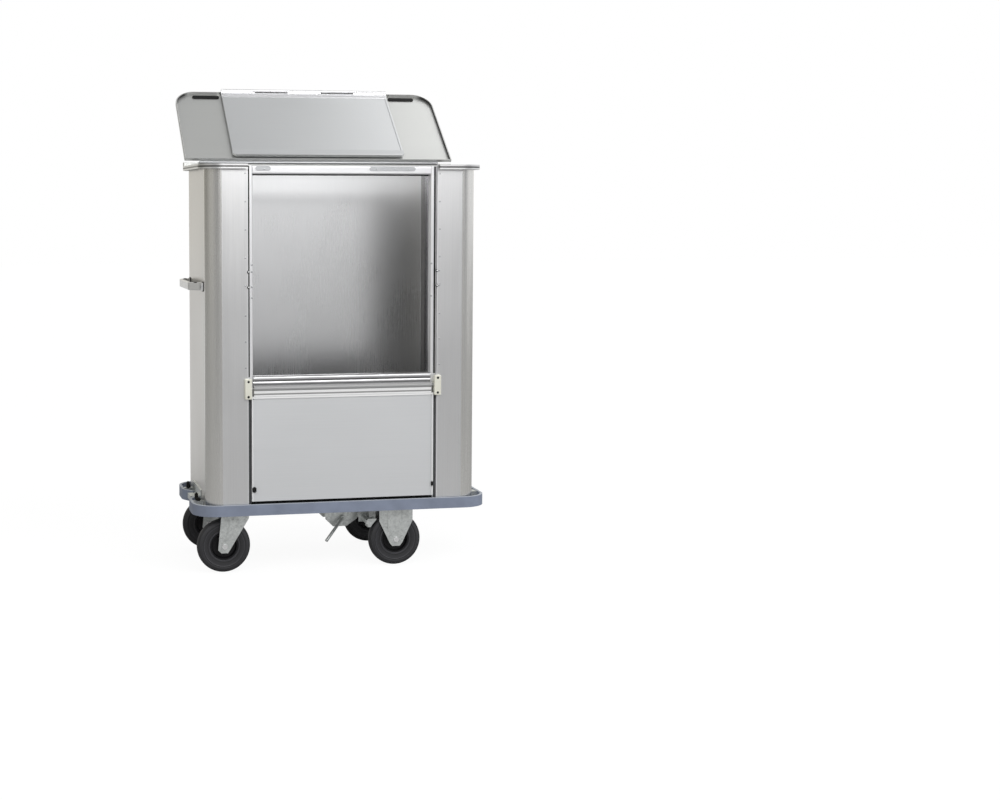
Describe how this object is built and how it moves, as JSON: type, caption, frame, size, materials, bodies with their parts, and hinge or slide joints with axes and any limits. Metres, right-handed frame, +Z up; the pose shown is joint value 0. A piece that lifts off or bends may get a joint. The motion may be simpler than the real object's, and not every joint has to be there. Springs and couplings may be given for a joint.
{
  "type": "linen cart",
  "caption": "Upright aluminium linen cart on castors with a hinged lid, front flaps, wrap-round bumper and end push handle.",
  "frame": {"origin": "on the floor, under the middle of the cabinet", "axes": "+X along the cart towards its fixed castors, -Y out of the doorway, +Z up"},
  "size_m": [1.148, 0.8186, 1.873],
  "materials": {
    "sheet_aluminium": "brushed anodised sheet",
    "profile_aluminium": "satin anodised profile",
    "lid_aluminium": "satin anodised sheet",
    "flap_aluminium": "satin anodised panel",
    "handle_aluminium": "satin anodised bar",
    "zinc_steel": "zinc plated",
    "cream_plastic": "moulded, cream",
    "black_rubber": "soft, black",
    "bumper_rubber": "matt, blue-grey",
    "tyre_rubber": "solid, dark grey",
    "hub_plastic": "moulded, black"
  },
  "bodies": {
    "cabinet": {"base_frame": "sheet_aluminium", "floor_pan": "sheet_aluminium", "rear_panel": "sheet_aluminium", "lower_front_panel": "sheet_aluminium", "end_panel_left": "sheet_aluminium", "end_panel_right": "sheet_aluminium", "front_strip_left": "sheet_aluminium", "front_strip_right": "sheet_aluminium", "corner_profile_front_left": "profile_aluminium", "corner_profile_front_right": "profile_aluminium", "corner_profile_rear_left": "profile_aluminium", "corner_profile_rear_right": "profile_aluminium", "door_post_left": "profile_aluminium", "rim_left": "profile_aluminium", "hinge_block_left": "cream_plastic", "door_post_right": "profile_aluminium", "rim_right": "profile_aluminium", "hinge_block_right": "cream_plastic", "door_head": "profile_aluminium", "door_sill": "profile_aluminium", "lid_keepers": "zinc_steel", "lid_rear_panel": "lid_aluminium", "lid_hinge_fixed_leaf": "zinc_steel", "lid_hinge_pin": "zinc_steel", "catch_studs": "zinc_steel", "push_handle": "handle_aluminium", "bumper_strip": "bumper_rubber", "bumper_brackets": "zinc_steel", "swivel_plate_front": "zinc_steel", "fixed_fork_front": "zinc_steel", "swivel_plate_rear": "zinc_steel", "fixed_fork_rear": "zinc_steel", "fixed_axles": "zinc_steel", "brake_bracket": "zinc_steel"},
    "lid": {"lid_pan": "lid_aluminium", "lid_hinge_leaf": "zinc_steel", "lid_seal": "black_rubber", "lid_rest_strips": "black_rubber", "upper_flap_pin": "zinc_steel"},
    "upper_flap": {"upper_flap_panel": "flap_aluminium", "upper_flap_hinge_rail": "profile_aluminium", "upper_flap_bottom_rail": "profile_aluminium"},
    "lower_flap": {"lower_flap_panel": "flap_aluminium", "lower_flap_hinge_rail": "profile_aluminium", "lower_flap_grip_rail": "profile_aluminium", "lower_flap_buffers": "black_rubber"},
    "brake_lever": {"brake_lever": "zinc_steel"},
    "brake_bar": {"brake_bar": "zinc_steel"},
    "swivel_front": {"swivel_fork_front": "zinc_steel", "swivel_axle_front": "zinc_steel"},
    "swivel_wheel_front": {"swivel_tyre_front": "tyre_rubber", "swivel_hub_front": "hub_plastic"},
    "fixed_wheel_front": {"fixed_tyre_front": "tyre_rubber", "fixed_hub_front": "hub_plastic"},
    "swivel_rear": {"swivel_fork_rear": "zinc_steel", "swivel_axle_rear": "zinc_steel"},
    "swivel_wheel_rear": {"swivel_tyre_rear": "tyre_rubber", "swivel_hub_rear": "hub_plastic"},
    "fixed_wheel_rear": {"fixed_tyre_rear": "tyre_rubber", "fixed_hub_rear": "hub_plastic"}
  },
  "joints": [
    {"name": "lid_hinge", "type": "hinge", "parent": "cabinet", "child": "lid", "pos_m": [0, 0.163, 1.5605], "axis": [1, 0, 0], "range_deg": [0, 141]},
    {"name": "upper_flap_hinge", "type": "hinge", "parent": "lid", "child": "upper_flap", "pos_m": [0, 0.50024, 1.86705], "axis": [-1, 0, 0], "range_deg": [0, 90]},
    {"name": "lower_flap_hinge", "type": "hinge", "parent": "cabinet", "child": "lower_flap", "pos_m": [0, -0.27, 0.702], "axis": [-1, 0, 0], "range_deg": [0, 180]},
    {"name": "brake_lever_hinge", "type": "hinge", "parent": "cabinet", "child": "brake_lever", "pos_m": [0.034, 0, 0.167], "axis": [0, -1, 0], "range_deg": [0, 30]},
    {"name": "brake_bar_slide", "type": "slide", "parent": "cabinet", "child": "brake_bar", "axis": [1, 0, 0], "range_m": [0, 0.006]},
    {"name": "swivel_turn_front", "type": "hinge", "parent": "cabinet", "child": "swivel_front", "pos_m": [-0.4, -0.222, 0.225], "axis": [0, 0, 1], "continuous": true},
    {"name": "swivel_roll_front", "type": "hinge", "parent": "swivel_front", "child": "swivel_wheel_front", "pos_m": [-0.456, -0.222, 0.102], "axis": [0, 1, 0], "continuous": true},
    {"name": "fixed_roll_front", "type": "hinge", "parent": "cabinet", "child": "fixed_wheel_front", "pos_m": [0.212, -0.222, 0.102], "axis": [0, 1, 0], "continuous": true},
    {"name": "swivel_turn_rear", "type": "hinge", "parent": "cabinet", "child": "swivel_rear", "pos_m": [-0.4, 0.222, 0.225], "axis": [0, 0, 1], "continuous": true},
    {"name": "swivel_roll_rear", "type": "hinge", "parent": "swivel_rear", "child": "swivel_wheel_rear", "pos_m": [-0.456, 0.222, 0.102], "axis": [0, 1, 0], "continuous": true},
    {"name": "fixed_roll_rear", "type": "hinge", "parent": "cabinet", "child": "fixed_wheel_rear", "pos_m": [0.212, 0.222, 0.102], "axis": [0, 1, 0], "continuous": true}
  ],
  "couplings": [
    {"joint": "brake_lever_hinge", "follows": "brake_bar_slide", "rad_per_m": 85}
  ]
}
